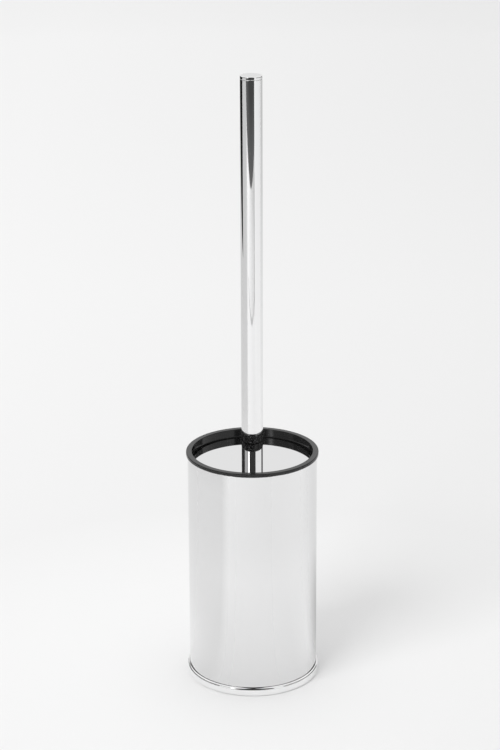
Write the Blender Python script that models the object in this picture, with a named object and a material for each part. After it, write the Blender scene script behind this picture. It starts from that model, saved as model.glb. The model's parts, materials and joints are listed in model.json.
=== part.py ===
"""Free-standing toilet brush set: a weighted tube, a lift-out liner cup and a brush with a splash disc.

Lengths are in metres, +Z is up, and the origin is the centre of the footprint on the floor.
Every round piece turns about the Z axis, and its own origin is on that axis at its underside.
"""

from math import cos, pi, radians, sin, tan

import bmesh
import bpy
from mathutils import Vector

MM = 0.001

# Driving dimensions
TUBE_RADIUS = 45.0 * MM
RIM_HEIGHT = 166.5 * MM
OVERALL_HEIGHT = 429.0 * MM
HANDLE_RADIUS = 7.5 * MM
CLEARANCE = 0.3 * MM

# Edge rounding, from machined edges to moulded ones
CRISP_EDGE = 0.2 * MM
FINE_EDGE = 0.3 * MM
TURNED_EDGE = 0.5 * MM
CAST_EDGE = 0.8 * MM
MOULDED_EDGE = 2.0 * MM

# Holder: base ring, tube, ballast, screws and foot pad
TUBE_WALL = 1.0 * MM
PAD_THICKNESS = 1.6 * MM
PAD_INSET = 1.5 * MM
PAD_GROOVE_DEPTH = 0.6 * MM
PAD_GROOVE_WIDTH = 2.0 * MM
PAD_GROOVE_RADII = (14.0 * MM, 30.0 * MM)
RING_UNDERSIDE = 0.4 * MM
RING_STEP = 1.75 * MM
RING_TOP = 6.0 * MM
RING_TOP_EDGE = 1.3 * MM
RING_FLOOR = 1.0 * MM
RING_SKIRT = 0.9 * MM
FLANGE_THICKNESS = 2.0 * MM
FLANGE_BORE = 30.0 * MM
BALLAST_THICKNESS = 8.0 * MM
BALLAST_INSET = 0.4 * MM
SCREW_CIRCLE = 36.5 * MM
SCREW_COUNT = 3
SCREW_RADIUS = 2.0 * MM
SCREW_HEAD_RADIUS = 3.7 * MM
SCREW_HEAD_HEIGHT = 1.7 * MM
SCREW_LENGTH = 8.0 * MM
SCREW_SOCKET_RADIUS = 1.45 * MM
SCREW_SOCKET_DEPTH = 1.2 * MM
SCREW_HEAD_BRIM = 0.2 * MM
SCREW_TIP_CHAMFER = 0.6 * MM
SCREW_SETBACK = 0.1 * MM
FIRST_SCREW_ANGLE = pi / 2

# Liner cup: lip, splash disc seat and cup
LIP_OVERHANG = 1.0 * MM
LIP_HEIGHT = 2.3 * MM
LINER_BORE = 42.0 * MM
SEAT_BORE = 38.6 * MM
LINER_WALL = 2.0 * MM
LINER_DRAFT = 1.2 * MM
LINER_NECK_HEIGHT = 14.0 * MM
LINER_STEP_HEIGHT = 3.0 * MM
LINER_BASE_GAP = 1.8 * MM
LINER_OUTER_EDGE = 5.0 * MM
LINER_INNER_EDGE = 4.0 * MM

# Splash disc, sunk below the rim
DISC_RADIUS = 40.7 * MM
DISC_THICKNESS = 2.0 * MM
DISC_DEPTH = 6.1 * MM
DISC_EDGE = 0.6 * MM

# Handle
HANDLE_WALL = 1.0 * MM
CAP_HEIGHT = 2.2 * MM
CAP_SHANK = 13.0 * MM
INSERT_LENGTH = 20.0 * MM
INSERT_END = 3.0 * MM

# Fixing under the splash disc, on an M8 stud
STUD_RADIUS = 4.0 * MM
STUD_ABOVE_DISC = 14.0 * MM
STUD_BELOW_DISC = 36.0 * MM
STUD_CHAMFER = 0.7 * MM
STUD_SPACE = 2.0 * MM
GASKET_RADIUS = 9.0 * MM
GASKET_THICKNESS = 1.5 * MM
WASHER_RADIUS = 8.5 * MM
WASHER_THICKNESS = 1.3 * MM
NUT_ACROSS_FLATS = 13.0 * MM
NUT_THICKNESS = 5.0 * MM
NUT_CHAMFER = 0.6 * MM
NUT_FACE_MARGIN = 0.05 * MM

# Brush head
HEAD_BOTTOM = 22.0 * MM
CORE_BOTTOM = 38.0 * MM
CORE_RADIUS = 9.5 * MM
COLLAR_RADIUS = 12.0 * MM
COLLAR_HEIGHT = 3.0 * MM
NECK_RADIUS = 6.8 * MM
SOCKET_RADIUS = 8.5 * MM
SOCKET_HEIGHT = 24.0 * MM
HEAD_INSERT_RADIUS = 5.5 * MM
HEAD_INSERT_LENGTH = 18.0 * MM
BRISTLE_ROWS = 6
BRISTLE_PITCH = 10.0 * MM
BRISTLE_GAP = 1.2 * MM
BRISTLE_RADIUS = 35.0 * MM
BRISTLE_ROUNDING = 7.0 * MM
BRISTLE_END_INSET = 1.0 * MM
BRISTLE_END_TAPER = 9.0 * MM
BRISTLE_END_EDGE = 3.0 * MM
BRISTLE_END_SHOULDER = 0.6

# Radii and heights that follow from the dimensions above
RING_RADIUS = TUBE_RADIUS + RING_STEP
LIP_RADIUS = TUBE_RADIUS + LIP_OVERHANG
TUBE_BORE = TUBE_RADIUS - TUBE_WALL
HANDLE_BORE = HANDLE_RADIUS - HANDLE_WALL
FLANGE_UNDERSIDE = PAD_THICKNESS + CLEARANCE
FLANGE_TOP = FLANGE_UNDERSIDE + FLANGE_THICKNESS
TUBE_FOOT = RING_UNDERSIDE + RING_FLOOR + CLEARANCE
TUBE_TOP = RIM_HEIGHT - LIP_HEIGHT - CLEARANCE
BALLAST_FOOT = FLANGE_TOP + CLEARANCE
LINER_FOOT = BALLAST_FOOT + BALLAST_THICKNESS + LINER_BASE_GAP
DISC_TOP = RIM_HEIGHT - DISC_DEPTH
DISC_FOOT = DISC_TOP - DISC_THICKNESS
SEAT_HEIGHT = DISC_FOOT - CLEARANCE
HANDLE_FOOT = DISC_TOP + CLEARANCE
CAP_FOOT = OVERALL_HEIGHT - CAP_HEIGHT
HANDLE_TOP = CAP_FOOT - CLEARANCE
GASKET_FOOT = DISC_FOOT - CLEARANCE - GASKET_THICKNESS
WASHER_FOOT = GASKET_FOOT - CLEARANCE - WASHER_THICKNESS
NUT_FOOT = WASHER_FOOT - CLEARANCE - NUT_THICKNESS
CORE_TOP = NUT_FOOT - CLEARANCE
STUD_FOOT = DISC_FOOT - STUD_BELOW_DISC
STUD_BORE = STUD_RADIUS + CLEARANCE
COLLAR_FOOT = CORE_BOTTOM + BRISTLE_ROWS * BRISTLE_PITCH

# Segments round a turned piece
LARGE_ROUND = 64
MEDIUM_ROUND = 32
SMALL_ROUND = 20
FILLET_STEPS = 2
HEXAGON = 6
SMOOTH_ANGLE = radians(35)
WELD_DISTANCE = 0.001 * MM


def clear_scene():
    for item in list(bpy.data.objects):
        bpy.data.objects.remove(item, do_unlink=True)


def finish(name, colour, roughness, metallic):
    """A Principled material of one colour."""
    material = bpy.data.materials.new(name)
    material.use_nodes = True
    shader = material.node_tree.nodes["Principled BSDF"]
    shader.inputs["Base Color"].default_value = (*colour, 1.0)
    shader.inputs["Roughness"].default_value = roughness
    shader.inputs["Metallic"].default_value = metallic
    return material


def group(name, height):
    """An empty on the Z axis that carries the pieces of one moving assembly."""
    empty = bpy.data.objects.new(name, None)
    empty.location = (0.0, 0.0, height)
    bpy.context.collection.objects.link(empty)
    return empty


def make_object(name, mesh, material, parent=None, place=(0.0, 0.0, 0.0)):
    """Link a mesh as an object whose world place is given, under its parent."""
    piece = bpy.data.objects.new(name, mesh)
    if material:
        mesh.materials.append(material)
    bpy.context.collection.objects.link(piece)
    piece.location = Vector(place)
    if parent:
        piece.parent = parent
        piece.location = Vector(place) - parent.location
    return piece


def rounded(corners):
    """An outline from (radius, height, fillet) corners, each fillet replaced by points on its arc."""
    points = []
    count = len(corners)
    for index, (x, z, fillet) in enumerate(corners):
        corner = Vector((x, z))
        if fillet == 0:
            points.append(corner)
            continue
        before = (Vector(corners[index - 1][:2]) - corner).normalized()
        after = (Vector(corners[(index + 1) % count][:2]) - corner).normalized()
        half_angle = before.angle(after) / 2
        reach = fillet / tan(half_angle)
        centre = corner + (before + after).normalized() * fillet / sin(half_angle)
        start = corner + before * reach - centre
        end = corner + after * reach - centre
        for step in range(FILLET_STEPS + 1):
            spoke = start.lerp(end, step / FILLET_STEPS)
            points.append(centre + spoke.normalized() * fillet)
    return points


def turned_mesh(name, corners, segments):
    """A closed mesh: the outline in (radius, height) turned once round the Z axis."""
    shape = bmesh.new()
    verts = [shape.verts.new((point.x, 0.0, point.y)) for point in rounded(corners)]
    edges = [shape.edges.new((verts[i - 1], verts[i])) for i in range(len(verts))]
    bmesh.ops.spin(
        shape,
        geom=verts + edges,
        cent=(0, 0, 0),
        axis=(0, 0, 1),
        angle=2 * pi,
        steps=segments,
        use_merge=True,
    )
    bmesh.ops.remove_doubles(shape, verts=shape.verts, dist=WELD_DISTANCE)
    bmesh.ops.dissolve_degenerate(shape, edges=shape.edges, dist=WELD_DISTANCE)
    bmesh.ops.recalc_face_normals(shape, faces=shape.faces)
    mesh = bpy.data.meshes.new(name)
    shape.to_mesh(mesh)
    shape.free()
    mesh.shade_smooth()
    mesh.set_sharp_from_angle(angle=SMOOTH_ANGLE)
    return mesh


def turned(name, corners, segments, material, parent, foot):
    """A turned piece standing at the height of its underside."""
    mesh = turned_mesh(name, corners, segments)
    return make_object(name, mesh, material, parent, (0.0, 0.0, foot))


def prism_mesh(name, sides, radius, height):
    """A closed prism on a regular polygon, from z = 0 upwards."""
    shape = bmesh.new()
    bmesh.ops.create_circle(shape, cap_ends=True, segments=sides, radius=radius)
    walls = bmesh.ops.extrude_face_region(shape, geom=list(shape.faces))
    raised = [item for item in walls["geom"] if isinstance(item, bmesh.types.BMVert)]
    bmesh.ops.translate(shape, verts=raised, vec=(0.0, 0.0, height))
    bmesh.ops.recalc_face_normals(shape, faces=shape.faces)
    mesh = bpy.data.meshes.new(name)
    shape.to_mesh(mesh)
    shape.free()
    return mesh


def hide_tool(tool):
    """Mark an object as a cutter, so it isn't a piece."""
    tool.hide_render = True
    tool.display_type = "WIRE"
    return tool


def combine(piece, tool, operation="DIFFERENCE"):
    modifier = piece.modifiers.new(tool.name, "BOOLEAN")
    modifier.operation = operation
    modifier.solver = "EXACT"
    modifier.object = tool


def disc_corners(radius, height, fillet=0.0, bore=0.0):
    """The outline of a plain disc or, with a bore, of a washer or a tube."""
    return [(bore, 0.0, 0.0), (radius, 0.0, fillet), (radius, height, fillet), (bore, height, 0.0)]


# Holder


def base_ring(material, parent):
    """A turned ring: the tube stands in its groove, the ballast on its inner flange."""
    groove_outer = TUBE_RADIUS + CLEARANCE
    groove_inner = TUBE_BORE - CLEARANCE
    pad_recess = groove_inner - RING_SKIRT
    top = RING_TOP - RING_UNDERSIDE
    flange_low = FLANGE_UNDERSIDE - RING_UNDERSIDE
    flange_high = FLANGE_TOP - RING_UNDERSIDE
    corners = [
        (RING_RADIUS, 0.0, FINE_EDGE),
        (RING_RADIUS, top, RING_TOP_EDGE),
        (groove_outer, top, 0.0),
        (groove_outer, RING_FLOOR, 0.0),
        (groove_inner, RING_FLOOR, 0.0),
        (groove_inner, flange_high, 0.0),
        (FLANGE_BORE, flange_high, 0.0),
        (FLANGE_BORE, flange_low, 0.0),
        (pad_recess, flange_low, 0.0),
        (pad_recess, 0.0, 0.0),
    ]
    return turned("base_ring", corners, LARGE_ROUND, material, parent, RING_UNDERSIDE)


def outer_tube(material, parent):
    corners = disc_corners(TUBE_RADIUS, TUBE_TOP - TUBE_FOOT, CRISP_EDGE, TUBE_BORE)
    return turned("outer_tube", corners, LARGE_ROUND, material, parent, TUBE_FOOT)


def ballast_plate(material, parent):
    corners = disc_corners(TUBE_BORE - BALLAST_INSET, BALLAST_THICKNESS, CAST_EDGE)
    return turned("ballast_plate", corners, MEDIUM_ROUND, material, parent, BALLAST_FOOT)


def foot_pad(material, parent):
    """A soft disc with two drain grooves round its underside."""
    radius = TUBE_BORE - PAD_INSET
    corners = [(0.0, 0.0, 0.0)]
    for groove in PAD_GROOVE_RADII:
        corners += [
            (groove, 0.0, 0.0),
            (groove, PAD_GROOVE_DEPTH, 0.0),
            (groove + PAD_GROOVE_WIDTH, PAD_GROOVE_DEPTH, 0.0),
            (groove + PAD_GROOVE_WIDTH, 0.0, 0.0),
        ]
    corners += [(radius, 0.0, FINE_EDGE), (radius, PAD_THICKNESS, 0.0), (0.0, PAD_THICKNESS, 0.0)]
    return turned("foot_pad", corners, MEDIUM_ROUND, material, parent, 0.0)


def screw_corners(margin=0.0, extra=0.0):
    """A countersunk screw, head down; a margin makes its clearance hole."""
    shank = SCREW_RADIUS + margin
    head = SCREW_HEAD_RADIUS + margin
    tip = SCREW_LENGTH + extra
    return [
        (0.0, -extra, 0.0),
        (head, -extra, 0.0),
        (head, SCREW_HEAD_BRIM, 0.0),
        (shank, SCREW_HEAD_HEIGHT, 0.0),
        (shank, tip - SCREW_TIP_CHAMFER, 0.0),
        (shank - SCREW_TIP_CHAMFER, tip, 0.0),
        (0.0, tip, 0.0),
    ]


def base_screws(material, parent, held_pieces):
    """Countersunk screws that clamp the ballast to the ring's flange, each with its hole cut in both."""
    screw_mesh = turned_mesh("base_screw", screw_corners(), SMALL_ROUND)
    screw_mesh.materials.append(material)
    hole_mesh = turned_mesh("screw_hole", screw_corners(CLEARANCE, 2 * CLEARANCE), SMALL_ROUND)
    socket_mesh = prism_mesh("screw_socket", HEXAGON, SCREW_SOCKET_RADIUS, 2 * SCREW_SOCKET_DEPTH)
    foot = FLANGE_UNDERSIDE + SCREW_SETBACK
    for index in range(SCREW_COUNT):
        angle = FIRST_SCREW_ANGLE + 2 * pi * index / SCREW_COUNT
        place = (SCREW_CIRCLE * cos(angle), SCREW_CIRCLE * sin(angle), foot)
        number = index + 1
        screw = make_object(f"base_screw_{number}", screw_mesh, None, parent, place)
        hole = hide_tool(make_object(f"screw_hole_{number}", hole_mesh, None, parent, place))
        below = (place[0], place[1], foot - SCREW_SOCKET_DEPTH)
        socket = hide_tool(make_object(f"screw_socket_{number}", socket_mesh, None, parent, below))
        combine(screw, socket)
        for piece in held_pieces:
            combine(piece, hole)


# Liner


def liner_cup(material, parent):
    """One moulding: the lip on the tube's mouth, the seat for the disc and the tapering cup below."""
    lip_foot = RIM_HEIGHT - LIP_HEIGHT - LINER_FOOT
    lip_top = RIM_HEIGHT - LINER_FOOT
    seat = SEAT_HEIGHT - LINER_FOOT
    neck_radius = TUBE_BORE - CLEARANCE
    neck_foot = lip_top - LINER_NECK_HEIGHT
    cup_radius = SEAT_BORE + LINER_WALL
    corners = [
        (0.0, 0.0, 0.0),
        (cup_radius - LINER_DRAFT, 0.0, LINER_OUTER_EDGE),
        (cup_radius, neck_foot - LINER_STEP_HEIGHT, 0.0),
        (neck_radius, neck_foot, 0.0),
        (neck_radius, lip_foot, 0.0),
        (LIP_RADIUS, lip_foot, CRISP_EDGE),
        (LIP_RADIUS, lip_top, TURNED_EDGE),
        (LINER_BORE, lip_top, FINE_EDGE),
        (LINER_BORE, seat, FINE_EDGE),
        (SEAT_BORE, seat, TURNED_EDGE),
        (SEAT_BORE - LINER_DRAFT, LINER_WALL, LINER_INNER_EDGE),
        (0.0, LINER_WALL, 0.0),
    ]
    return turned("liner_cup", corners, LARGE_ROUND, material, parent, LINER_FOOT)


# Brush


def splash_disc(material, parent):
    corners = [
        (STUD_BORE, 0.0, 0.0),
        (DISC_RADIUS, 0.0, FINE_EDGE),
        (DISC_RADIUS, DISC_THICKNESS, DISC_EDGE),
        (STUD_BORE, DISC_THICKNESS, 0.0),
    ]
    return turned("splash_disc", corners, LARGE_ROUND, material, parent, DISC_FOOT)


def handle_tube(material, parent):
    length = HANDLE_TOP - HANDLE_FOOT
    corners = disc_corners(HANDLE_RADIUS, length, CRISP_EDGE, HANDLE_BORE)
    return turned("handle_tube", corners, MEDIUM_ROUND, material, parent, HANDLE_FOOT)


def handle_end_cap(material, parent):
    """A flush cap with a rounded top edge, on a shank that fits inside the tube."""
    shank = HANDLE_BORE - CLEARANCE
    top = CAP_SHANK + CAP_HEIGHT
    corners = [
        (0.0, 0.0, 0.0),
        (shank - TURNED_EDGE, 0.0, 0.0),
        (shank, TURNED_EDGE, 0.0),
        (shank, CAP_SHANK, 0.0),
        (HANDLE_RADIUS, CAP_SHANK, CRISP_EDGE),
        (HANDLE_RADIUS, top, TURNED_EDGE),
        (0.0, top, 0.0),
    ]
    return turned("handle_end_cap", corners, MEDIUM_ROUND, material, parent, CAP_FOOT - CAP_SHANK)


def handle_insert(material, parent):
    """A plug with a blind bore, pressed into the handle's foot for the stud."""
    radius = HANDLE_BORE - CLEARANCE
    bore_end = INSERT_LENGTH - INSERT_END
    corners = [
        (STUD_BORE, 0.0, 0.0),
        (radius, 0.0, FINE_EDGE),
        (radius, INSERT_LENGTH, FINE_EDGE),
        (0.0, INSERT_LENGTH, 0.0),
        (0.0, bore_end, 0.0),
        (STUD_BORE, bore_end, 0.0),
    ]
    return turned("handle_insert", corners, SMALL_ROUND, material, parent, HANDLE_FOOT)


def disc_stud(material, parent):
    length = STUD_BELOW_DISC + DISC_THICKNESS + STUD_ABOVE_DISC
    corners = [
        (0.0, 0.0, 0.0),
        (STUD_RADIUS - STUD_CHAMFER, 0.0, 0.0),
        (STUD_RADIUS, STUD_CHAMFER, 0.0),
        (STUD_RADIUS, length - STUD_CHAMFER, 0.0),
        (STUD_RADIUS - STUD_CHAMFER, length, 0.0),
        (0.0, length, 0.0),
    ]
    return turned("disc_stud", corners, SMALL_ROUND, material, parent, STUD_FOOT)


def disc_gasket(material, parent):
    corners = disc_corners(GASKET_RADIUS, GASKET_THICKNESS, FINE_EDGE, STUD_BORE)
    return turned("disc_gasket", corners, SMALL_ROUND, material, parent, GASKET_FOOT)


def disc_washer(material, parent):
    corners = disc_corners(WASHER_RADIUS, WASHER_THICKNESS, CRISP_EDGE, STUD_BORE)
    return turned("disc_washer", corners, SMALL_ROUND, material, parent, WASHER_FOOT)


def lock_nut(material, parent):
    """A hexagon nut: a prism whose corners are taken off by a turned envelope."""
    corner_radius = NUT_ACROSS_FLATS / 2 / cos(pi / HEXAGON)
    nut_mesh = prism_mesh("lock_nut", HEXAGON, corner_radius, NUT_THICKNESS)
    nut = make_object("lock_nut", nut_mesh, material, parent, (0.0, 0.0, NUT_FOOT))
    face_radius = NUT_ACROSS_FLATS / 2 + NUT_FACE_MARGIN
    wide = corner_radius + CLEARANCE
    envelope_corners = [
        (0.0, -CLEARANCE, 0.0),
        (face_radius, -CLEARANCE, 0.0),
        (face_radius, 0.0, 0.0),
        (wide, NUT_CHAMFER, 0.0),
        (wide, NUT_THICKNESS - NUT_CHAMFER, 0.0),
        (face_radius, NUT_THICKNESS, 0.0),
        (face_radius, NUT_THICKNESS + CLEARANCE, 0.0),
        (0.0, NUT_THICKNESS + CLEARANCE, 0.0),
    ]
    envelope = turned("nut_envelope", envelope_corners, SMALL_ROUND, None, parent, NUT_FOOT)
    combine(nut, hide_tool(envelope), "INTERSECT")
    bore_corners = disc_corners(STUD_BORE, NUT_THICKNESS + 2 * CLEARANCE)
    bore = turned("nut_bore", bore_corners, SMALL_ROUND, None, parent, NUT_FOOT - CLEARANCE)
    combine(nut, hide_tool(bore))
    return nut


def head_insert(material, parent):
    """A threaded bush with a retaining groove, moulded into the socket of the brush head."""
    groove = 2 * CLEARANCE
    middle = HEAD_INSERT_LENGTH / 2
    inset_radius = HEAD_INSERT_RADIUS - groove
    corners = [
        (STUD_BORE, 0.0, 0.0),
        (HEAD_INSERT_RADIUS, 0.0, 0.0),
        (HEAD_INSERT_RADIUS, middle - 2 * groove, 0.0),
        (inset_radius, middle - groove, 0.0),
        (inset_radius, middle + groove, 0.0),
        (HEAD_INSERT_RADIUS, middle + 2 * groove, 0.0),
        (HEAD_INSERT_RADIUS, HEAD_INSERT_LENGTH, 0.0),
        (STUD_BORE, HEAD_INSERT_LENGTH, 0.0),
    ]
    foot = CORE_TOP - CLEARANCE - HEAD_INSERT_LENGTH
    return turned("head_insert", corners, SMALL_ROUND, material, parent, foot)


def head_core(material, parent):
    """The moulded core: tuft body, collar, neck and the socket that screws onto the stud."""
    top = CORE_TOP - CORE_BOTTOM
    collar_foot = COLLAR_FOOT - CORE_BOTTOM
    neck_foot = collar_foot + 2 * COLLAR_HEIGHT
    socket_foot = top - SOCKET_HEIGHT
    pocket = HEAD_INSERT_RADIUS + CLEARANCE
    pocket_foot = top - HEAD_INSERT_LENGTH - 2 * CLEARANCE
    bore_foot = STUD_FOOT - CORE_BOTTOM - STUD_SPACE
    corners = [
        (0.0, 0.0, 0.0),
        (CORE_RADIUS, 0.0, MOULDED_EDGE),
        (CORE_RADIUS, collar_foot, 0.0),
        (COLLAR_RADIUS, collar_foot, CAST_EDGE),
        (COLLAR_RADIUS, collar_foot + COLLAR_HEIGHT, CAST_EDGE),
        (NECK_RADIUS, neck_foot, MOULDED_EDGE),
        (NECK_RADIUS, socket_foot, MOULDED_EDGE),
        (SOCKET_RADIUS, socket_foot + 2 * COLLAR_HEIGHT, MOULDED_EDGE),
        (SOCKET_RADIUS, top, TURNED_EDGE),
        (pocket, top, 0.0),
        (pocket, pocket_foot, 0.0),
        (STUD_BORE, pocket_foot, 0.0),
        (STUD_BORE, bore_foot, 0.0),
        (0.0, bore_foot, 0.0),
    ]
    return turned("head_core", corners, SMALL_ROUND, material, parent, CORE_BOTTOM)


def bristle_reach(height):
    """The bristles' outer radius at a height: a barrel, fullest at the middle of the rows."""
    middle = (CORE_BOTTOM + COLLAR_FOOT) / 2
    half = (COLLAR_FOOT - CORE_BOTTOM) / 2
    offset = (height - middle) / half
    return BRISTLE_RADIUS - BRISTLE_ROUNDING * offset * offset


def bristle_rows(material, parent):
    """One ring of tufts for each row of holes in the core."""
    inner = CORE_RADIUS + CLEARANCE
    height = BRISTLE_PITCH - BRISTLE_GAP
    for row in range(BRISTLE_ROWS):
        foot = CORE_BOTTOM + row * BRISTLE_PITCH + BRISTLE_GAP / 2
        corners = [
            (inner, 0.0, 0.0),
            (bristle_reach(foot), 0.0, 0.0),
            (bristle_reach(foot + height), height, 0.0),
            (inner, height, 0.0),
        ]
        turned(f"bristle_row_{row + 1}", corners, MEDIUM_ROUND, material, parent, foot)


def bristle_end(material, parent):
    """The tufts that fan out from the end of the core, as one rounded pad."""
    height = CORE_BOTTOM - CLEARANCE - HEAD_BOTTOM
    brim = bristle_reach(CORE_BOTTOM) - BRISTLE_END_INSET
    corners = [
        (0.0, 0.0, 0.0),
        (brim - BRISTLE_END_TAPER, 0.0, BRISTLE_END_EDGE),
        (brim, height * BRISTLE_END_SHOULDER, BRISTLE_END_EDGE),
        (brim, height, 0.0),
        (0.0, height, 0.0),
    ]
    return turned("bristle_end", corners, MEDIUM_ROUND, material, parent, HEAD_BOTTOM)


def build():
    clear_scene()
    chrome = finish("chrome", (0.86, 0.86, 0.87), 0.05, 1.0)
    black_gloss = finish("black_liner", (0.02, 0.02, 0.02), 0.28, 0.0)
    black_matte = finish("black_core", (0.03, 0.03, 0.03), 0.45, 0.0)
    rubber = finish("rubber", (0.05, 0.05, 0.05), 0.8, 0.0)
    iron = finish("ballast_iron", (0.16, 0.16, 0.17), 0.6, 0.9)
    steel = finish("steel", (0.6, 0.6, 0.6), 0.35, 1.0)
    brass = finish("brass", (0.78, 0.6, 0.28), 0.3, 1.0)
    nylon = finish("nylon_bristle", (0.85, 0.85, 0.83), 0.5, 0.0)

    holder = group("holder", 0.0)
    ring = base_ring(chrome, holder)
    ballast = ballast_plate(iron, holder)
    outer_tube(chrome, holder)
    foot_pad(rubber, holder)
    base_screws(steel, holder, (ring, ballast))

    liner = group("liner", RIM_HEIGHT - LIP_HEIGHT)
    liner_cup(black_gloss, liner)

    brush = group("brush", DISC_FOOT)
    splash_disc(chrome, brush)
    handle_tube(chrome, brush)
    handle_end_cap(chrome, brush)
    handle_insert(brass, brush)
    disc_stud(steel, brush)
    disc_gasket(rubber, brush)
    disc_washer(steel, brush)
    lock_nut(steel, brush)
    head_insert(brass, brush)
    head_core(black_matte, brush)
    bristle_rows(nylon, brush)
    bristle_end(nylon, brush)
    bpy.context.view_layer.update()


build()
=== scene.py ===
"""Looks of the free-standing toilet brush set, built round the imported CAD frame.

Metres, +Z up. The camera stands on the -Y side. An azimuth is measured round the set from the
camera's side: 0 points at the camera, negative is the camera's left, 180 is straight behind.
"""

import json
import random
from math import cos, pi, radians, sin, sqrt

import bmesh
import bpy
from mathutils import Matrix, Vector


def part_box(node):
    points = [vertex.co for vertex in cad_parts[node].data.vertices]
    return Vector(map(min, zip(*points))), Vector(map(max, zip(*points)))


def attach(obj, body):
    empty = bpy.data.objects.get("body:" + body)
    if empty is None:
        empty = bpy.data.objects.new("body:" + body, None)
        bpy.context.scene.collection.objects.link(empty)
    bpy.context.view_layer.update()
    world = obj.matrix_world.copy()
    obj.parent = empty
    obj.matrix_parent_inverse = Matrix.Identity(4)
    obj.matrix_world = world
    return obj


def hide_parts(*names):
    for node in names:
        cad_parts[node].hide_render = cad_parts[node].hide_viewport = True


MM = 0.001
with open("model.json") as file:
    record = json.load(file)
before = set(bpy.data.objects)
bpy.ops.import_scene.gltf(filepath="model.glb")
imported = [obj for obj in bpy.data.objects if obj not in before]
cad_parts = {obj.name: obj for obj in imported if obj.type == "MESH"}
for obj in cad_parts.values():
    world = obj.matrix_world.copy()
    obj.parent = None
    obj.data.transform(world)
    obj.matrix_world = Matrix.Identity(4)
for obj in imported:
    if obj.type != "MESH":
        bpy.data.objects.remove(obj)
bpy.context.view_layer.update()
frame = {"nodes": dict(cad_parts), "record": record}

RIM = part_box("liner_cup")[1].z
TUBE_WALL = 1.0 * MM
WALL_SHARE = 0.8
TUBE_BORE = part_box("outer_tube")[1].x - WALL_SHARE * TUBE_WALL
SLOT_OF = {part["node"]: part["material_slot"] for part in frame["record"]["subparts"]}
BODY_OF = {node: body for body, nodes in frame["record"]["behaviour"]["bodies"].items() for node in nodes}


# ---------------------------------------------------------------- camera


CAMERA_TARGET = Vector((-0.0014, 0.0, 0.2215))
CAMERA_DISTANCE = 1.4744
CAMERA_ELEVATION = radians(19.19)
CAMERA_ROLL = radians(-0.22)
CAMERA_LENS = 103.3
SENSOR_WIDTH = 36.0
NEAREST_SEEN = 0.01
FARTHEST_SEEN = 50.0


def add_camera():
    camera = bpy.data.objects.new("camera", bpy.data.cameras.new("camera"))
    camera.data.lens = CAMERA_LENS
    camera.data.sensor_width = SENSOR_WIDTH
    camera.data.clip_start = NEAREST_SEEN
    camera.data.clip_end = FARTHEST_SEEN
    towards = Vector((0.0, cos(CAMERA_ELEVATION), -sin(CAMERA_ELEVATION)))
    aim = towards.to_track_quat("-Z", "Y").to_matrix().to_4x4()
    roll = Matrix.Rotation(CAMERA_ROLL, 4, "Z")
    camera.matrix_world = Matrix.Translation(CAMERA_TARGET - towards * CAMERA_DISTANCE) @ aim @ roll
    bpy.context.scene.collection.objects.link(camera)
    bpy.context.scene.camera = camera


# ---------------------------------------------------------------- node helpers


RING_DISTORTION = 0.4
MIX_COLOURS = (6, 7)
MIX_RESULT = 2


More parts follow.
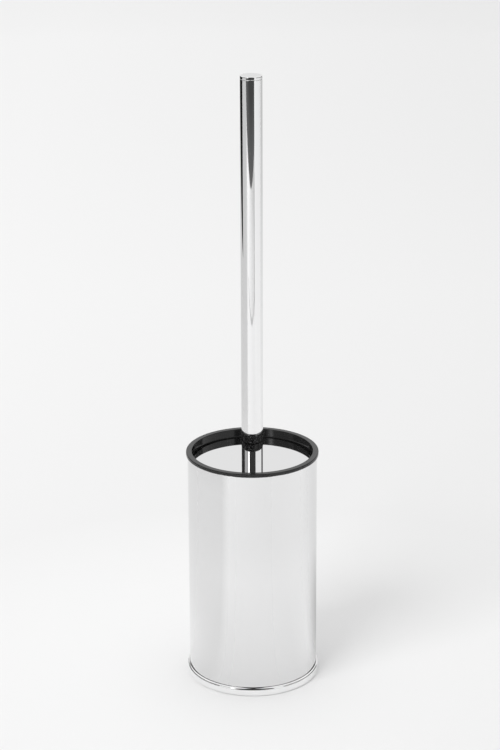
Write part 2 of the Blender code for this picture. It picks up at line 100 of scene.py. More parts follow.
class NodeTree:
    """A short way to write a material's nodes. Noise and ring scales are in features a metre."""

    def __init__(self, name):
        self.material = bpy.data.materials.new(name)
        self.material.use_nodes = True
        self.tree = self.material.node_tree
        self.tree.nodes.clear()

    def put(self, node, socket, value):
        """Link an output to a socket, or set the socket's own value."""
        target = node.inputs[socket]
        if isinstance(value, bpy.types.NodeSocket):
            self.tree.links.new(value, target)
        else:
            target.default_value = value

    def add(self, kind, sockets, **settings):
        """A new node, with its sockets filled in and its settings made."""
        node = self.tree.nodes.new(kind)
        for key, value in settings.items():
            setattr(node, key, value)
        for socket, value in sockets.items():
            self.put(node, socket, value)
        return node

    def place(self):
        """The object's own coordinates, in metres."""
        return self.add("ShaderNodeTexCoord", {}).outputs["Object"]

    def axis_distance(self):
        """How far the shaded point lies from the object's Z axis."""
        sockets = {0: self.place(), 1: (1.0, 1.0, 0.0)}
        flat = self.add("ShaderNodeVectorMath", sockets, operation="MULTIPLY").outputs[0]
        return self.add("ShaderNodeVectorMath", {0: flat}, operation="LENGTH").outputs["Value"]

    def distance(self):
        """How far the shaded point lies from the object's origin."""
        return self.add("ShaderNodeVectorMath", {0: self.place()}, operation="LENGTH").outputs["Value"]

    def noise(self, scale, detail=2.0, roughness=0.5, stretch=(1.0, 1.0, 1.0)):
        spot = self.add("ShaderNodeMapping", {"Vector": self.place(), "Scale": stretch})
        sockets = {"Vector": spot.outputs[0], "Scale": scale, "Detail": detail, "Roughness": roughness}
        return self.add("ShaderNodeTexNoise", sockets).outputs["Fac"]

    def lathe_rings(self, scale):
        """Fine turning marks round the Z axis."""
        sockets = {"Vector": self.place(), "Scale": scale, "Distortion": RING_DISTORTION, "Detail": 2.0}
        return self.add("ShaderNodeTexWave", sockets, wave_type="RINGS", rings_direction="Z").outputs["Fac"]

    def ramp(self, value, start, end, low, high):
        """As value goes from start to end, the result goes from low to high."""
        sockets = {"Value": value, "From Min": start, "From Max": end, "To Min": low, "To Max": high}
        return self.add("ShaderNodeMapRange", sockets).outputs["Result"]

    def mix(self, factor, first, second):
        node = self.add("ShaderNodeMix", {}, data_type="RGBA")
        self.put(node, 0, factor)
        for index, value in zip(MIX_COLOURS, (first, second)):
            self.put(node, index, value if isinstance(value, bpy.types.NodeSocket) else (*value, 1.0))
        return node.outputs[MIX_RESULT]

    def maths(self, operation, first, second):
        return self.add("ShaderNodeMath", {0: first, 1: second}, operation=operation).outputs[0]

    def bump(self, height, distance):
        return self.add("ShaderNodeBump", {"Height": height, "Distance": distance}).outputs[0]

    def close(self, surface):
        self.add("ShaderNodeOutputMaterial", {"Surface": surface})
        return self.material

    def finish(self, sockets):
        return self.close(self.add("ShaderNodeBsdfPrincipled", sockets).outputs[0])

    def glow(self, tone):
        """Plain light of one grey."""
        return self.add("ShaderNodeEmission", {"Color": (*grey(tone), 1.0)}).outputs[0]


# ---------------------------------------------------------------- materials


# Spans of noise values: the middle one takes in nearly all of them, the others only the peaks
MIDDLE = (0.3, 0.7)
UPPER = (0.45, 0.75)
PEAKS = (0.5, 0.8)
SPECKS = (0.74, 0.8)

STAIN_SCALE = 5.0
HAZE_SCALE = 22.0
HAZE_ROUGHNESS = (0.02, 0.05)
HAIRLINE_SCALE = 90.0
HAIRLINE_STRETCH = (1.0, 1.0, 0.02)
HAIRLINE_ROUGHNESS = (0.0, 0.02)
WAVE_SCALE = 16.0
WAVE_HEIGHT = 0.02 * MM
BARE_ROUGHNESS = 0.55
BARE_BLEND = 0.2 * MM


def grey(tone):
    return (tone, tone, tone)


def chrome(name, dark, light, bare_radius=0.0):
    """Polished chrome: a mirror with faint finger haze, polishing hairlines and a slight waviness.

    Nearer to the axis than the bare radius, the metal is unpolished.
    """
    nodes = NodeTree(name)
    bare = nodes.ramp(nodes.axis_distance(), bare_radius, bare_radius + BARE_BLEND, BARE_ROUGHNESS, 0.0)
    haze = nodes.ramp(nodes.noise(HAZE_SCALE, 3.0), *UPPER, *HAZE_ROUGHNESS)
    scratches = nodes.noise(HAIRLINE_SCALE, 4.0, 0.7, HAIRLINE_STRETCH)
    hairlines = nodes.ramp(scratches, *PEAKS, *HAIRLINE_ROUGHNESS)
    waves = nodes.bump(nodes.noise(WAVE_SCALE, 1.0), WAVE_HEIGHT)
    sockets = {
        "Base Color": nodes.mix(nodes.noise(STAIN_SCALE), dark, light),
        "Metallic": 1.0,
        "Roughness": nodes.maths("ADD", nodes.maths("ADD", haze, hairlines), bare),
        "Normal": waves,
    }
    return nodes.finish(sockets)


# The disc's chrome is a darker copy of the chrome, painted shade; the noise between these two tones is
# random stain.
DISC_DARK = (0.82, 0.82, 0.825)
DISC_LIGHT = grey(0.84)
DISC_STAIN_SCALE = 8.0
DRIP_SCALE = 30.0
DRIP_ROUGHNESS = (0.012, 0.04)
SPIN_SCALE = 160.0
SPIN_SPAN = (0.4, 1.0)
SPIN_ROUGHNESS = (0.0, 0.012)
SPIN_WAVE_SCALE = 60.0
SPIN_WAVE_HEIGHT = 0.001 * MM


def disc_chrome():
    """The splash disc's mirror: spun flat, so its marks run round the middle, with dried drip haze."""
    nodes = NodeTree("disc_chrome")
    haze = nodes.ramp(nodes.noise(DRIP_SCALE, 3.0), *PEAKS, *DRIP_ROUGHNESS)
    marks = nodes.ramp(nodes.lathe_rings(SPIN_SCALE), *SPIN_SPAN, *SPIN_ROUGHNESS)
    sockets = {
        "Base Color": nodes.mix(nodes.noise(DISC_STAIN_SCALE), DISC_DARK, DISC_LIGHT),
        "Metallic": 1.0,
        "Roughness": nodes.maths("ADD", haze, marks),
        "Normal": nodes.bump(nodes.lathe_rings(SPIN_WAVE_SCALE), SPIN_WAVE_HEIGHT),
    }
    return nodes.finish(sockets)


DUST_SCALE = 1400.0
DUST_SHARE = (0.0, 0.5)
DUST_COLOUR = (0.35, 0.35, 0.34)
PLASTIC_STAIN_SCALE = 40.0
PLASTIC_GLOSS_SCALE = 60.0
PLASTIC_SPECULAR = 0.4
GRAIN_SCALE = 2600.0


def moulded_plastic(name, dark, light, roughness, grain):
    """Black moulded plastic: fine spark-eroded grain, uneven gloss and a little dust."""
    nodes = NodeTree(name)
    dust = nodes.ramp(nodes.noise(DUST_SCALE, 1.0), *SPECKS, *DUST_SHARE)
    body = nodes.mix(nodes.noise(PLASTIC_STAIN_SCALE, 3.0), grey(dark), grey(light))
    sockets = {
        "Base Color": nodes.mix(dust, body, DUST_COLOUR),
        "Roughness": nodes.ramp(nodes.noise(PLASTIC_GLOSS_SCALE, 3.0), *MIDDLE, *roughness),
        "Specular IOR Level": PLASTIC_SPECULAR,
        "Normal": nodes.bump(nodes.noise(GRAIN_SCALE, 2.0), grain),
    }
    return nodes.finish(sockets)


NYLON_DARK = (0.78, 0.78, 0.75)
NYLON_LIGHT = (0.9, 0.9, 0.88)
NYLON_SCALE = 300.0
NYLON_ROUGHNESS = (0.35, 0.5)


def nylon():
    """Milky bristle nylon, each bristle a slightly different white."""
    nodes = NodeTree("nylon")
    island = nodes.add("ShaderNodeNewGeometry", {}).outputs["Random Per Island"]
    sockets = {
        "Base Color": nodes.mix(island, NYLON_DARK, NYLON_LIGHT),
        "Roughness": nodes.ramp(nodes.noise(NYLON_SCALE), *MIDDLE, *NYLON_ROUGHNESS),
    }
    return nodes.finish(sockets)


RUBBER_TONES = (0.03, 0.055)
RUBBER_STAIN_SCALE = 70.0
RUBBER_WEAR_SCALE = 120.0
RUBBER_ROUGHNESS = (0.7, 0.9)
RUBBER_GRAIN_SCALE = 1800.0
RUBBER_GRAIN_HEIGHT = 0.05 * MM


def rubber():
    """Black rubber with a fine moulded grain."""
    nodes = NodeTree("rubber")
    sockets = {
        "Base Color": nodes.mix(nodes.noise(RUBBER_STAIN_SCALE, 4.0), *map(grey, RUBBER_TONES)),
        "Roughness": nodes.ramp(nodes.noise(RUBBER_WEAR_SCALE, 3.0), *MIDDLE, *RUBBER_ROUGHNESS),
        "Normal": nodes.bump(nodes.noise(RUBBER_GRAIN_SCALE, 3.0), RUBBER_GRAIN_HEIGHT),
    }
    return nodes.finish(sockets)


IRON_DARK = (0.09, 0.09, 0.095)
IRON_LIGHT = (0.2, 0.19, 0.185)
IRON_METALLIC = 0.9
IRON_STAIN_SCALE = 90.0
IRON_WEAR_SCALE = 150.0
IRON_ROUGHNESS = (0.5, 0.75)
SAND_SCALE = 700.0
SAND_HEIGHT = 0.15 * MM


def cast_iron():
    """Raw iron with the skin of its sand mould."""
    nodes = NodeTree("cast_iron")
    sockets = {
        "Base Color": nodes.mix(nodes.noise(IRON_STAIN_SCALE, 5.0), IRON_DARK, IRON_LIGHT),
        "Metallic": IRON_METALLIC,
        "Roughness": nodes.ramp(nodes.noise(IRON_WEAR_SCALE, 3.0), *MIDDLE, *IRON_ROUGHNESS),
        "Normal": nodes.bump(nodes.noise(SAND_SCALE, 4.0), SAND_HEIGHT),
    }
    return nodes.finish(sockets)


LATHE_STAIN_SCALE = 120.0
LATHE_MARK_SCALE = 400.0
LATHE_ROUGHNESS = (0.24, 0.4)
LATHE_RIDGE_SCALE = 300.0
LATHE_RIDGE_HEIGHT = 0.01 * MM


def turned_metal(name, dark, light):
    """Zinc-plated steel or brass with the rings of the lathe."""
    nodes = NodeTree(name)
    sockets = {
        "Base Color": nodes.mix(nodes.noise(LATHE_STAIN_SCALE, 3.0), dark, light),
        "Metallic": 1.0,
        "Roughness": nodes.ramp(nodes.lathe_rings(LATHE_MARK_SCALE), 0.0, 1.0, *LATHE_ROUGHNESS),
        "Normal": nodes.bump(nodes.lathe_rings(LATHE_RIDGE_SCALE), LATHE_RIDGE_HEIGHT),
    }
    return nodes.finish(sockets)


def make_materials():
    """A finished material for each slot of the record, and the tube's own chrome."""
    # One polished chrome in three tones: the plain chrome's lighter tone is painted light, and the tube's
    # darker copy here and the disc's darker copy are painted shade.
    tube_painted_shade_dark = (0.875, 0.875, 0.88)
    return {
        "chrome": chrome("chrome", dark=(0.945, 0.945, 0.95), light=grey(0.97)),
        "tube_chrome": chrome("tube_chrome", dark=tube_painted_shade_dark, light=grey(0.9), bare_radius=TUBE_BORE),
        "disc_chrome": disc_chrome(),
        "liner_plastic": moulded_plastic(
            "liner_plastic", dark=0.009, light=0.015, roughness=(0.1, 0.17), grain=0.0012 * MM
        ),
        "core_plastic": moulded_plastic(
            "core_plastic", dark=0.02, light=0.035, roughness=(0.35, 0.5), grain=0.03 * MM
        ),
        "bristle": nylon(),
        "rubber": rubber(),
        "iron": cast_iron(),
        "steel": turned_metal("steel", dark=(0.5, 0.51, 0.53), light=grey(0.66)),
        "brass": turned_metal("brass", dark=(0.62, 0.45, 0.18), light=(0.8, 0.62, 0.3)),
    }


# ---------------------------------------------------------------- stage


# Every distance here is in metres and every azimuth in degrees
FLOOR_RADIUS = 9.0
FLOOR_ROUND = 96
FLOOR_ROUGHNESS = 0.9
WORLD_LIGHT = 0.9


def direction(azimuth):
    angle = radians(azimuth)
    return Vector((sin(angle), -cos(angle), 0.0))


def polar(azimuth, distance):
    spot = direction(azimuth) * distance
    return spot.x, spot.y


def add_mesh(name, verts, faces):
    mesh = bpy.data.meshes.new(name)
    mesh.from_pydata(verts, [], faces)
    mesh.update()
    piece = bpy.data.objects.new(name, mesh)
    bpy.context.scene.collection.objects.link(piece)
    return piece


def floor_material():
    """Matte white paper with painted light: its colour is painted lighter to the left, round the set, far
    off and to the right in front, and it glows up to the horizon as painted light.
    """
    nodes = NodeTree("floor_paper")
    spot = nodes.add("ShaderNodeSeparateXYZ", {0: nodes.place()}).outputs
    distance = nodes.distance()
    # Painted light and painted shade: the paper is painted lighter to the left and far off, darker to the
    # right and towards the camera, and lighter again to the right in front.
    across = nodes.ramp(spot[0], start=-0.35, end=0.35, low=1.0, high=0.945)
    near = nodes.ramp(spot[1], start=-0.3, end=0.9, low=0.915, high=1.0)
    far = nodes.ramp(spot[1], start=0.9, end=3.0, low=1.0, high=1.035)
    # Painted light: the paper is painted lighter close round the set, against the shade that falls there.
    painted_light_round_set = nodes.ramp(distance, start=0.05, end=0.3, low=0.95, high=0.845)
    painted_light_rightwards = nodes.ramp(spot[0], start=0.15, end=0.5, low=0.0, high=0.07)
    forwards = nodes.ramp(spot[1], start=0.0, end=0.3, low=1.0, high=0.0)
    across = nodes.maths("ADD", across, nodes.maths("MULTIPLY", painted_light_rightwards, forwards))
    along = nodes.maths("MULTIPLY", near, far)
    tone = nodes.maths("MULTIPLY", nodes.maths("MULTIPLY", across, along), painted_light_round_set)
    fibre = nodes.ramp(nodes.noise(900.0), *MIDDLE, low=0.997, high=1.0)
    colour = nodes.add("ShaderNodeCombineColor", {}).outputs[0]
    for channel in range(3):
        nodes.put(colour.node, channel, nodes.maths("MULTIPLY", tone, fibre))
    sockets = {
        "Base Color": colour,
        "Roughness": FLOOR_ROUGHNESS,
        "Emission Color": (*grey(1.0), 1.0),
        # Painted light: the paper glows more and more out towards the horizon.
        "Emission Strength": nodes.ramp(distance, start=3.2, end=7.0, low=0.0, high=0.09),
    }
    return nodes.finish(sockets)


def add_floor():
    shape = bmesh.new()
    bmesh.ops.create_circle(shape, cap_ends=True, segments=FLOOR_ROUND, radius=FLOOR_RADIUS)
    mesh = bpy.data.meshes.new("floor")
    shape.to_mesh(mesh)
    shape.free()
    floor = bpy.data.objects.new("floor", mesh)
    bpy.context.scene.collection.objects.link(floor)
    mesh.materials.append(floor_material())


def add_softbox(name, azimuth, elevation, distance, size, watts):
    """A large square lamp that the chrome doesn't show."""
    lamp = bpy.data.lights.new(name, "AREA")
    lamp.shape = "SQUARE"
    lamp.size = size
    lamp.energy = watts
    light = bpy.data.objects.new(name, lamp)
    rise = radians(elevation)
    spot = direction(azimuth) * cos(rise) * distance + Vector((0, 0, sin(rise) * distance))
    light.location = spot
    light.rotation_euler = (Vector((0, 0, RIM / 2)) - spot).to_track_quat("-Z", "Y").to_euler()
    light.visible_glossy = False
    bpy.context.scene.collection.objects.link(light)


def add_world():
    world = bpy.data.worlds.new("studio")
    world.use_nodes = True
    background = world.node_tree.nodes["Background"]
    background.inputs["Color"].default_value = (*grey(1.0), 1.0)
    background.inputs["Strength"].default_value = WORLD_LIGHT
    bpy.context.scene.world = world
    bpy.context.scene.view_settings.view_transform = "Standard"


# Cards: the table and the room, which show only in the chrome

CARD_LIFT = 1.0 * MM
CARD_FAR = 8.0
CARD_NEAR = 0.05
ROOM_RADIUS = 2.6
ROOM_HEIGHT = 3.0
STUDIO_HEIGHT = 12.0
WALL_TOP = 1.25
LOW_WALL_TOP = 0.98
WALL_STEPS = 12
TINT_STEPS = 24


def card(name, verts, faces, material):
    """Something in the studio that only shows in the chrome."""
    piece = add_mesh(name, verts, faces)
    piece.data.materials.append(material)
    piece.visible_camera = False
    piece.visible_diffuse = False
    piece.visible_shadow = False
    piece.visible_transmission = False


def card_material(name, tone):
    nodes = NodeTree(name)
    return nodes.close(nodes.glow(tone))


def wall_card(name, start, end, tone, low=0.0, high=ROOM_HEIGHT):
    """An upright curved card, from one azimuth to another."""
    verts = []
    for step in range(WALL_STEPS + 1):
        spot = direction(start + (end - start) * step / WALL_STEPS) * ROOM_RADIUS
        verts.append((spot.x, spot.y, low))
        verts.append((spot.x, spot.y, high))
    faces = [(2 * i, 2 * i + 2, 2 * i + 3, 2 * i + 1) for i in range(WALL_STEPS)]
    card(name, verts, faces, card_material(name, tone))


def ceiling_card(name, start, end, tone, height):
    """A flat sector overhead, from the middle out to the walls."""
    verts = [(0.0, 0.0, height)]
    for step in range(WALL_STEPS + 1):
        spot = direction(start + (end - start) * step / WALL_STEPS) * ROOM_RADIUS
        verts.append((spot.x, spot.y, height))
    faces = [(0, step + 1, step + 2) for step in range(WALL_STEPS)]
    card(name, verts, faces, card_material(name, tone))


def floor_card(name, outline, material):
    """A flat card just above the floor and the lower tints."""
    verts = [(point[0], point[1], 2 * CARD_LIFT) for point in outline]
    card(name, verts, [tuple(range(len(verts)))], material)


def floor_tint(start, end, material, lift=CARD_LIFT):
    """A tinted sector of the floor between two azimuths, named after its material."""
    verts = []
    for step in range(TINT_STEPS + 1):
        spoke = direction(start + (end - start) * step / TINT_STEPS)
        for reach in (CARD_NEAR, CARD_FAR):
            verts.append((spoke.x * reach, spoke.y * reach, lift))
    faces = [(2 * i, 2 * i + 2, 2 * i + 3, 2 * i + 1) for i in range(TINT_STEPS)]
    card(material.name, verts, faces, material)


def tint_material(name, tone, fade_in, fade_out, stops):
    """A see-through tint that fades in and out over two spans of azimuths, and changes with distance.

    The stops are (metres from the set, share of the tint) pairs.
    """
    nodes = NodeTree(name)
    spot = nodes.add("ShaderNodeSeparateXYZ", {0: nodes.place()}).outputs
    azimuth = nodes.maths("ARCTAN2", spot[0], nodes.maths("MULTIPLY", spot[1], -1.0))
    side = nodes.ramp(azimuth, *map(radians, fade_in), 0.0, 1.0)
    side = nodes.maths("MULTIPLY", side, nodes.ramp(azimuth, *map(radians, fade_out), 1.0, 0.0))
    distance = nodes.distance()
    share = stops[0][1]
    for (near, low), (far, high) in zip(stops, stops[1:]):
        share = nodes.maths("ADD", share, nodes.ramp(distance, near, far, 0.0, high - low))
    light = nodes.glow(tone)
    clear = nodes.add("ShaderNodeBsdfTransparent", {}).outputs[0]
    factor = nodes.maths("MULTIPLY", side, share)
    return nodes.close(nodes.add("ShaderNodeMixShader", {0: factor, 1: clear, 2: light}).outputs[0])


def studio_floor_material():
    """The dark floor in front of the table, a little lighter close to the table's edge."""
    nodes = NodeTree("dark_front")
    depth = nodes.add("ShaderNodeSeparateXYZ", {0: nodes.place()}).outputs[1]
    strength = nodes.ramp(depth, start=-1.95, end=-1.4, low=0.056, high=0.125)
    return nodes.close(nodes.add("ShaderNodeEmission", {"Strength": strength}).outputs[0])


TABLE_CORNER = 32
TABLE_LEFT = 1.05
TABLE_BACK = -98
TABLE_FRONT = [polar(-80, 7.0), polar(-48, 1.85), (-0.6, -1.35), (0.0, -1.4), polar(TABLE_CORNER, 1.66)]
SEAM = [(-0.55, -0.83), (0.5, -0.83), (0.5, -0.805), (-0.55, -0.805)]


def add_table():
    """The white table's front edge and left edge, a seam across it, and the dark floor beyond them."""
    beyond = [polar(TABLE_CORNER, CARD_FAR), polar(-20, CARD_FAR)]
    floor_card("dark_front", TABLE_FRONT + beyond, studio_floor_material())
    back = direction(TABLE_BACK)
    corner = (-TABLE_LEFT, TABLE_LEFT * back.y / -back.x)
    left = [corner, polar(TABLE_BACK, CARD_FAR), (-7, 7), (-TABLE_LEFT, 7)]
    floor_card("dark_left", left, card_material("dark_left", 0.012))
    floor_card("seam", SEAM, card_material("seam", 0.5))
    edge = [polar(28, 0.88), polar(28, 1.5), polar(TABLE_CORNER, 1.5), polar(TABLE_CORNER, 0.88)]
    floor_card("table_edge", edge, card_material("table_edge", 0.4))


LEFT_STOPS = ((0.08, 0.1), (0.16, 0.22), (0.4, 0.32), (0.55, 0.62), (1.4, 0.8))
FRONT_STOPS = ((0.82, 0.0), (0.86, 0.4), (1.05, 0.42), (1.35, 0.75))
RIGHT_STOPS = ((0.06, 0.6), (0.15, 0.4), (0.24, 0.15), (0.6, 0.1), (1.0, 0.25), (1.4, 0.5), (1.8, 0.65))
NEAR_STOPS = ((0.06, 0.3), (0.22, 0.0))


def add_shades():
    """The softer shade on the table: to the left, towards the camera, close round the set and behind it."""
    floor_tint(-179, -40, tint_material("shade_left", 0.5, (-41, -53), (-145, -178), LEFT_STOPS))
    floor_tint(-28, TABLE_CORNER, tint_material("shade_front", 0.45, (-27, 27), (90, 91), FRONT_STOPS))
    shade_near = tint_material("shade_near", 0.5, (-110, -60), (60, 110), NEAR_STOPS)
    floor_tint(-110, 110, shade_near, lift=3 * CARD_LIFT)
    floor_tint(90, 179, tint_material("shade_right", 0.3, (95, 138), (150, 178), RIGHT_STOPS))


def add_room():
    """The walls round the table, with the dark studio behind the camera and a window to its left."""
    wall_card("room_front", -30, 35, 0.04, high=STUDIO_HEIGHT)
    ceiling_card("ceiling_front", -30, 35, 0.04, STUDIO_HEIGHT)
    wall_card("room_left", -156, -87, 0.03, high=WALL_TOP)
    wall_card("window", -40, -34, 4.0, low=1.15, high=1.65)
    wall_card("grey_left", -87, -41, 0.45, low=LOW_WALL_TOP)
    wall_card("low_left", -87, -58, 0.1, high=LOW_WALL_TOP)
    wall_card("low_right", 52, 112, 0.08, high=LOW_WALL_TOP)
    wall_card("grey_right", 40, 108, 0.6, low=1.5, high=4.0)
    wall_card("room_right", 112, 150, 0.1, high=WALL_TOP)
    wall_card("backdrop", 140, 220, 0.77, high=1.08)


def add_stage():
    add_floor()
    add_world()
    add_softbox("softbox", azimuth=-40, elevation=42, distance=6.0, size=3.0, watts=150)
    add_table()
    add_shades()
    add_room()


# ---------------------------------------------------------------- finer CAD pieces


FINE_ROUND = 256
HOLE_ROUND = 48
SHARP_ANGLE = radians(32)
TOUCH = 0.002 * MM

EDGE_CUT = 0.12 * MM
CORNER_STEPS = 3
SHALLOW_ANGLE = radians(46)
BLEND_REACH = 0.5 * MM
STRAIGHT_RUN = 1.2 * MM
SUPPORT_SHARE = 1.3

HANDLE_SEAT = 0.55 * MM
CAP_GAP = 0.28 * MM
END_REGION = 0.5 * MM

SCREW_ROOM = 0.3 * MM
SCREW_BRIM = 0.2 * MM
SCREW_HEAD = 1.7 * MM
SHANK_SHARE = 0.54
CUTTER_START = 1.0 * MM


def link_smooth(name, mesh, sharp_angle=SHARP_ANGLE):
    """A new object whose faces are smooth, apart from edges sharper than the angle."""
    mesh.shade_smooth()
    mesh.set_sharp_from_angle(angle=sharp_angle)
    piece = bpy.data.objects.new(name, mesh)
    bpy.context.scene.collection.objects.link(piece)
    return piece


def outline_of(node):
    """A turned CAD node's outline as (radius, height) points: its edges in the half plane y = 0, x > 0."""
    shape = bmesh.new()
    shape.from_mesh(frame["nodes"][node].data)
    bmesh.ops.remove_doubles(shape, verts=shape.verts, dist=TOUCH / 2)
    links = {}
    for edge in shape.edges:
        ends = edge.verts
        if any(abs(vert.co.y) > TOUCH or vert.co.x < -TOUCH for vert in ends):
            continue
        if all(vert.co.x < TOUCH for vert in ends):
            continue
        for vert in ends:
            links.setdefault(vert, []).append(edge.other_vert(vert))
    ends = [vert for vert, others in links.items() if len(others) == 1]
    start = max(ends or links, key=lambda vert: (vert.co.z, vert.co.x))
    chain = [start]
    while True:
        onward = [vert for vert in links[chain[-1]] if vert not in chain]
        if not onward:
            break
        chain.append(onward[0])
    points = [(max(vert.co.x, 0.0), vert.co.z) for vert in chain]
    shape.free()
    if ends:
        points = [(0.0, points[0][1]), *points, (0.0, points[-1][1])]
    return points


def soften(points):
    """Round an outline's corners a little, and hold its straight runs straight right up to them.

    The shallow corners along a rounded edge are blended into each other, so the edge is truly round.
    """
    softer = []
    for i, corner in enumerate(points):
        corner = Vector(corner)
        before = Vector(points[i - 1]) - corner
        after = Vector(points[(i + 1) % len(points)]) - corner
        if corner.x < TOUCH:
            softer.append(corner)
            if max(before.x, after.x) > STRAIGHT_RUN:
                inward = max(before, after, key=lambda side: side.x).normalized()
                softer.insert(len(softer) - (after.x < before.x), corner + inward * EDGE_CUT)
            continue
        shallow = before.angle(-after) < SHALLOW_ANGLE
        reach = min(BLEND_REACH if shallow else EDGE_CUT, before.length / 2, after.length / 2)
        cuts = [side.normalized() * reach for side in (before, after)]
        if before.length > STRAIGHT_RUN:
            softer.append(corner + cuts[0] * SUPPORT_SHARE)
        for step in range(CORNER_STEPS + 1):
            share = step / CORNER_STEPS
            softer.append(corner + cuts[0] * (1 - share) ** 2 + cuts[1] * share ** 2)
        if after.length > STRAIGHT_RUN:
            softer.append(corner + cuts[1] * SUPPORT_SHARE)
    return [tuple(point) for point in softer]


def turn(name, points, segments=FINE_ROUND):
    """A closed piece: the outline turned once round the Z axis."""
    shape = bmesh.new()
    verts = [shape.verts.new((radius, 0.0, height)) for radius, height in points]
    edges = [shape.edges.new((verts[i - 1], verts[i])) for i in range(len(verts))]
    bmesh.ops.spin(
        shape,
        geom=verts + edges,
        cent=(0, 0, 0),
        axis=(0, 0, 1),
        angle=2 * pi,
        steps=segments,
        use_merge=True,
    )
    bmesh.ops.remove_doubles(shape, verts=shape.verts, dist=TOUCH / 2)
    bmesh.ops.dissolve_degenerate(shape, edges=shape.edges, dist=TOUCH / 2)
    bmesh.ops.recalc_face_normals(shape, faces=shape.faces)
    mesh = bpy.data.meshes.new(name)
    shape.to_mesh(mesh)
    shape.free()
    return link_smooth(name, mesh)


def stand_for(piece, node, materials):
    """The piece takes a CAD node's place, body, slot and finish."""
    slot = SLOT_OF[node]
    # The tube takes the darker copy of the chrome, which is painted shade.
    finish = "tube_chrome" if node == "outer_tube" else slot
    piece.data.materials.append(materials[finish])
    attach(piece, BODY_OF[node])
    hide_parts(node)


def stretch(points, drop, rise):
    """Lengthen an upright piece at its foot and its top, to close the CAD's working gaps there."""
    foot = min(height for _, height in points)
    top = max(height for _, height in points)
    longer = []
    for radius, height in points:
        if height < foot + END_REGION:
            height -= drop
        if height > top - END_REGION:
            height += rise
        longer.append((radius, height))
    return longer


def add_screw_cutter(node):
    """The shape of a base screw's countersunk hole, where the screw stands."""
    low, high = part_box(node)
    screw = (high.x - low.x) / 2
    head = screw + SCREW_ROOM
    shank = screw * SHANK_SHARE + SCREW_ROOM
    below = low.z - CUTTER_START
    brim = low.z + SCREW_BRIM
    neck = low.z + SCREW_HEAD + SCREW_ROOM
    outline = [(0.0, below), (head, below), (head, brim), (shank, neck), (shank, high.z), (0.0, high.z)]
    cutter = turn(f"{node}_cutter", outline, HOLE_ROUND)
    cutter.location = ((low.x + high.x) / 2, (low.y + high.y) / 2, 0.0)
    return cutter


def cut_screw_holes(ring):
    """The ring's flange keeps its countersunk holes for the base screws."""
    cutters = [add_screw_cutter(node) for node in frame["nodes"] if node.startswith("base_screw")]
    for cutter in cutters:
        cut = ring.modifiers.new("screw_hole", "BOOLEAN")
        cut.operation = "DIFFERENCE"
        cut.object = cutter
    state = bpy.context.evaluated_depsgraph_get()
    state.update()
    mesh = bpy.data.meshes.new_from_object(ring.evaluated_get(state))
    ring.modifiers.clear()
    ring.data = mesh
    mesh.shade_smooth()
    mesh.set_sharp_from_angle(angle=SHARP_ANGLE)
    for cutter in cutters:
        bpy.data.objects.remove(cutter)


ROUND_NODES = (
    "outer_tube",
    "base_ring",
    "foot_pad",
    "liner_cup",
    "splash_disc",
    "handle_tube",
    "handle_end_cap",
    "handle_insert",
    "disc_stud",
    "disc_gasket",
    "disc_washer",
    "head_insert",
    "head_core",
)


def add_round_pieces(materials):
    """The turned pieces again, with the same outlines and many more steps round, so they mirror cleanly."""
    for node in ROUND_NODES:
        points = outline_of(node)
        if node == "handle_tube":
            points = stretch(points, HANDLE_SEAT, CAP_GAP)
        piece = turn(f"{node}_fine", soften(points))
        if node == "base_ring":
            cut_screw_holes(piece)
        stand_for(piece, node, materials)


def finish_cad_pieces(materials):
    """The CAD nodes that stay get their finish, with their vertices welded and their edges split where
    sharper than the angle.
    """
    for name, node in frame["nodes"].items():
        if name in ROUND_NODES or name.startswith("bristle"):
            continue
        node.material_slots[0].material = materials[SLOT_OF[name]]
        weld = node.modifiers.new("weld", "WELD")
        weld.merge_threshold = TOUCH
        split = node.modifiers.new("split", "EDGE_SPLIT")
        split.split_angle = SHARP_ANGLE


# ---------------------------------------------------------------- bristles


CORE_RADIUS = 9.5 * MM
ROOT_DEPTH = 0.5 * MM
TUFTS = 16
TUFT_BRISTLES = 30
HOLE_RADIUS = 1.3 * MM
ROW_SPREAD = 5.2 * MM
BRISTLE_RADIUS = 0.19 * MM
BRISTLE_SAG = 0.5
TRIM_SHARE = 0.03
FAN_LEAST = 0.85
FAN_MORE = 0.3
GOLDEN_ANGLE = pi * (3 - sqrt(5))
ROD_STEPS = ((0.0, 1.0), (0.4, 1.0), (0.75, 1.0), (0.96, 0.9), (1.0, 0.35))
ROD_SIDES = 4
ROD_SHARP_ANGLE = radians(100)

END_RINGS = ((1, 0.0, 0.0), (7, 32.0, 3.5 * MM), (12, 62.0, 7.0 * MM))
END_ROOT_RISE = 1.5 * MM
END_SPREAD = 4.2 * MM
END_SEED = 40


def add_bristle(shape, root, tip, sag):
    """One bristle: a thin rod with a rounded tip that bends a little on its way."""
    along = (tip - root).normalized()
    across = along.orthogonal().normalized()
    up = along.cross(across)
    rings = []
    for step, width in ROD_STEPS:
        centre = root.lerp(tip, step) + sag * step * step
        ring = []
        for side in range(ROD_SIDES):
            angle = 2 * pi * side / ROD_SIDES
            spoke = across * cos(angle) + up * sin(angle)
            ring.append(shape.verts.new(centre + spoke * BRISTLE_RADIUS * width))
        rings.append(ring)
    for low, high in zip(rings, rings[1:]):
        for side in range(ROD_SIDES):
            after = (side + 1) % ROD_SIDES
            shape.faces.new((low[side], low[after], high[after], high[side]))
    shape.faces.new(list(reversed(rings[0])))
    shape.faces.new(rings[-1])


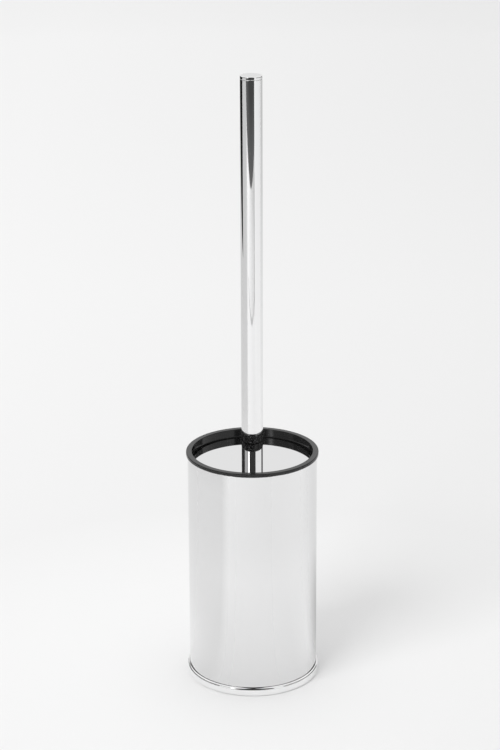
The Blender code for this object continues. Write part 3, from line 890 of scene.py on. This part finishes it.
def add_tuft(shape, chance, root, outward, reach, spread):
    """A tuft: bristles set close in one hole, fanning out towards their tips."""
    across = outward.orthogonal().normalized()
    up = outward.cross(across)
    for index in range(TUFT_BRISTLES):
        share = sqrt((index + 0.5) / TUFT_BRISTLES)
        angle = index * GOLDEN_ANGLE
        offset = across * cos(angle) + up * sin(angle)
        start = root + offset * HOLE_RADIUS * share
        length = reach * (1.0 - TRIM_SHARE * chance.random())
        fan = spread * share * (FAN_LEAST + FAN_MORE * chance.random())
        end = root + outward * length + offset * fan
        sag = Vector([chance.uniform(-BRISTLE_SAG, BRISTLE_SAG) * MM for _ in range(3)])
        add_bristle(shape, start, end, sag)


def bristle_piece(name, shape):
    mesh = bpy.data.meshes.new(name)
    bmesh.ops.recalc_face_normals(shape, faces=shape.faces)
    shape.to_mesh(mesh)
    shape.free()
    return link_smooth(name, mesh, ROD_SHARP_ANGLE)


def add_bristle_rows(materials):
    """Each row of tufts stands in its ring of holes round the core."""
    rows = sorted(name for name in frame["nodes"] if name.startswith("bristle_row"))
    for row, node in enumerate(rows):
        low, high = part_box(node)
        height = (low.z + high.z) / 2
        chance = random.Random(row + 1)
        shape = bmesh.new()
        for tuft in range(TUFTS):
            outward = direction(360.0 * (tuft + 0.5 * (row % 2)) / TUFTS)
            root = outward * (CORE_RADIUS - ROOT_DEPTH) + Vector((0, 0, height))
            reach = high.x - CORE_RADIUS
            add_tuft(shape, chance, root, outward, reach, ROW_SPREAD)
        stand_for(bristle_piece(f"{node}_tufts", shape), node, materials)


def add_end_tufts(materials):
    """The tufts in the rounded end of the core fan out downwards."""
    low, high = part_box("bristle_end")
    base = Vector((0.0, 0.0, high.z + END_ROOT_RISE))
    depth = high.z - low.z
    chance = random.Random(END_SEED)
    shape = bmesh.new()
    for count, lean, ring_radius in END_RINGS:
        for tuft in range(count):
            side = direction(360.0 * tuft / count)
            tilt = radians(lean)
            outward = side * sin(tilt) - Vector((0, 0, 1)) * cos(tilt)
            reach = 1.0 / sqrt((sin(tilt) / high.x) ** 2 + (cos(tilt) / depth) ** 2)
            root = base + side * ring_radius
            add_tuft(shape, chance, root, outward, reach - ring_radius * sin(tilt), END_SPREAD)
    stand_for(bristle_piece("bristle_end_tufts", shape), "bristle_end", materials)


def main():
    add_camera()
    add_stage()
    materials = make_materials()
    add_round_pieces(materials)
    finish_cad_pieces(materials)
    add_bristle_rows(materials)
    add_end_tufts(materials)


main()
